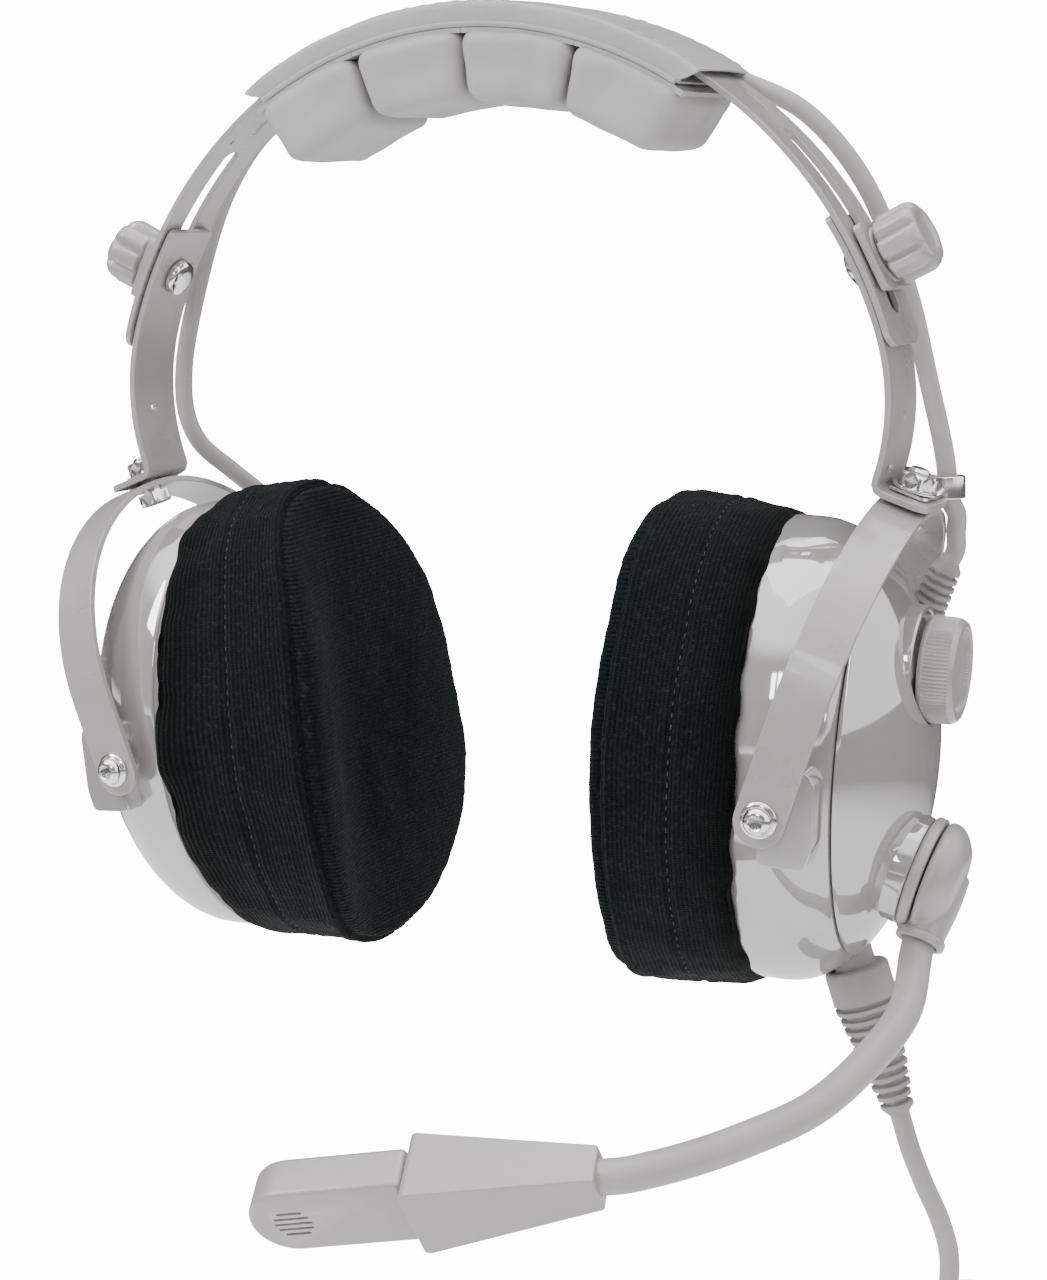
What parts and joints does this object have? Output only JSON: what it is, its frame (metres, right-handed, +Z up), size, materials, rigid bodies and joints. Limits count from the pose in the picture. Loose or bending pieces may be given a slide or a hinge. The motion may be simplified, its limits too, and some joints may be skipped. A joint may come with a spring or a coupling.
{
  "type": "radio headset",
  "caption": "Over-ear radio headset: sprung slotted headband with padded cells, sliding arms, stirrup-hung oval cups in knitted ear covers, and a swinging boom microphone.",
  "frame": {"origin": "midway between the two ear cups, at the height of the pivots that the cups tilt on: the middle of the wearer's head", "axes": "+Z up through the crown, -Y the way the wearer faces, +X towards the cup that carries the boom microphone"},
  "size_m": [0.2361, 0.1818, 0.4304],
  "materials": {
    "painted_steel": "satin paint over spring steel",
    "cover_vinyl": "stitched vinyl wrap",
    "pad_vinyl": "soft vinyl over foam",
    "seal_vinyl": "soft vinyl over foam",
    "rib_knit_cloth": "fine rib-knit cotton",
    "chrome_steel": "bright plated",
    "satin_plastic": "fine moulded grain",
    "gloss_shell": "high gloss moulded",
    "inner_parts": "unseen inside parts",
    "cable_rubber": "matte cable jacket",
    "plug_body": "moulded plug",
    "boom_sleeve": "smooth sleeve over a bendable core"
  },
  "bodies": {
    "headband": {"headband_spring": "painted_steel", "headband_cover": "cover_vinyl", "head_pad_cell_1": "pad_vinyl", "head_pad_cell_2": "pad_vinyl", "head_pad_cell_3": "pad_vinyl", "head_pad_cell_4": "pad_vinyl", "crossover_cable_top": "cable_rubber", "right_cable_upper": "cable_rubber", "left_cable_upper": "cable_rubber"},
    "right_arm": {"right_slide_arm": "painted_steel", "right_clamp_screw": "chrome_steel", "right_clamp_plate": "satin_plastic", "right_stirrup_bolt": "chrome_steel", "right_stirrup_nut": "chrome_steel", "right_cable_clip": "chrome_steel"},
    "left_arm": {"left_slide_arm": "painted_steel", "left_clamp_screw": "chrome_steel", "left_clamp_plate": "satin_plastic", "left_stirrup_bolt": "chrome_steel", "left_stirrup_nut": "chrome_steel"},
    "right_clamp": {"right_clamp_knob": "satin_plastic"},
    "left_clamp": {"left_clamp_knob": "satin_plastic"},
    "right_yoke": {"right_stirrup": "painted_steel", "right_cable_middle": "cable_rubber"},
    "left_yoke": {"left_stirrup": "painted_steel", "left_cable_middle": "cable_rubber"},
    "right_cup": {"right_cable_boot": "cable_rubber", "right_outer_dome": "gloss_shell", "right_inner_shell": "gloss_shell", "right_baffle": "inner_parts", "right_speaker": "inner_parts", "right_ear_seal": "seal_vinyl", "right_ear_cover": "rib_knit_cloth", "right_pivot_screw_front": "chrome_steel", "right_pivot_screw_back": "chrome_steel", "right_cable_lower": "cable_rubber", "volume_control": "inner_parts", "swivel_base": "satin_plastic", "cord_boot": "cable_rubber", "cord_run": "cable_rubber", "cord_coil": "cable_rubber", "cord_tail": "cable_rubber", "cord_plug": "plug_body"},
    "left_cup": {"left_cable_boot": "cable_rubber", "left_outer_dome": "gloss_shell", "left_inner_shell": "gloss_shell", "left_baffle": "inner_parts", "left_speaker": "inner_parts", "left_ear_seal": "seal_vinyl", "left_ear_cover": "rib_knit_cloth", "left_pivot_screw_front": "chrome_steel", "left_pivot_screw_back": "chrome_steel", "left_cable_lower": "cable_rubber"},
    "volume": {"volume_knob": "satin_plastic"},
    "boom": {"swivel_head": "satin_plastic", "boom_lower_tube": "boom_sleeve"},
    "microphone": {"boom_upper_tube": "boom_sleeve", "mic_arm_end": "satin_plastic", "mic_capsule": "satin_plastic", "mic_element": "inner_parts"}
  },
  "joints": [
    {"name": "right_arm_slide", "type": "hinge", "parent": "headband", "child": "right_arm", "pos_m": [0, 0, 0.0706], "axis": [0, -1, 0], "range_deg": [-5, 10], "deforming": ["right_cable_upper"]},
    {"name": "left_arm_slide", "type": "hinge", "parent": "headband", "child": "left_arm", "pos_m": [0, 0, 0.0706], "axis": [0, 1, 0], "range_deg": [-5, 10], "deforming": ["left_cable_upper"]},
    {"name": "right_clamp_turn", "type": "hinge", "parent": "right_arm", "child": "right_clamp", "pos_m": [0.09887, 0, 0.11882], "axis": [0.8988, 0, 0.4384], "range_deg": [0, 360]},
    {"name": "left_clamp_turn", "type": "hinge", "parent": "left_arm", "child": "left_clamp", "pos_m": [-0.09887, 0, 0.11882], "axis": [-0.8988, 0, 0.4384], "range_deg": [0, 360]},
    {"name": "right_stirrup_swivel", "type": "hinge", "parent": "right_arm", "child": "right_yoke", "pos_m": [0.10164, 0, 0.06345], "axis": [0.342, 0, 0.9397], "range_deg": [-12, 12], "deforming": ["right_cable_middle"]},
    {"name": "left_stirrup_swivel", "type": "hinge", "parent": "left_arm", "child": "left_yoke", "pos_m": [-0.10164, 0, 0.06345], "axis": [-0.342, 0, 0.9397], "range_deg": [-12, 12], "deforming": ["left_cable_middle"]},
    {"name": "right_cup_tilt", "type": "hinge", "parent": "right_yoke", "child": "right_cup", "pos_m": [0.07855, 0, 0], "axis": [-0.0982, 0.9945, 0.0358], "range_deg": [-10, 10], "deforming": ["right_cable_lower"]},
    {"name": "left_cup_tilt", "type": "hinge", "parent": "left_yoke", "child": "left_cup", "pos_m": [-0.07855, 0, 0], "axis": [0.0982, 0.9945, 0.0358], "range_deg": [-10, 10], "deforming": ["left_cable_lower"]},
    {"name": "volume_turn", "type": "hinge", "parent": "right_cup", "child": "volume", "pos_m": [0.10458, 0.00169, 0.02464], "axis": [0.9922, 0.1006, -0.0732], "range_deg": [-140, 140]},
    {"name": "boom_swing", "type": "hinge", "parent": "right_cup", "child": "boom", "pos_m": [0.101, -0.00206, -0.02084], "axis": [-0.9387, -0.1045, 0.3286], "range_deg": [-10, 60]},
    {"name": "boom_bend", "type": "hinge", "parent": "boom", "child": "microphone", "pos_m": [0.0995, -0.06, -0.0605], "axis": [0, 0, 1], "range_deg": [-20, 20]}
  ]
}
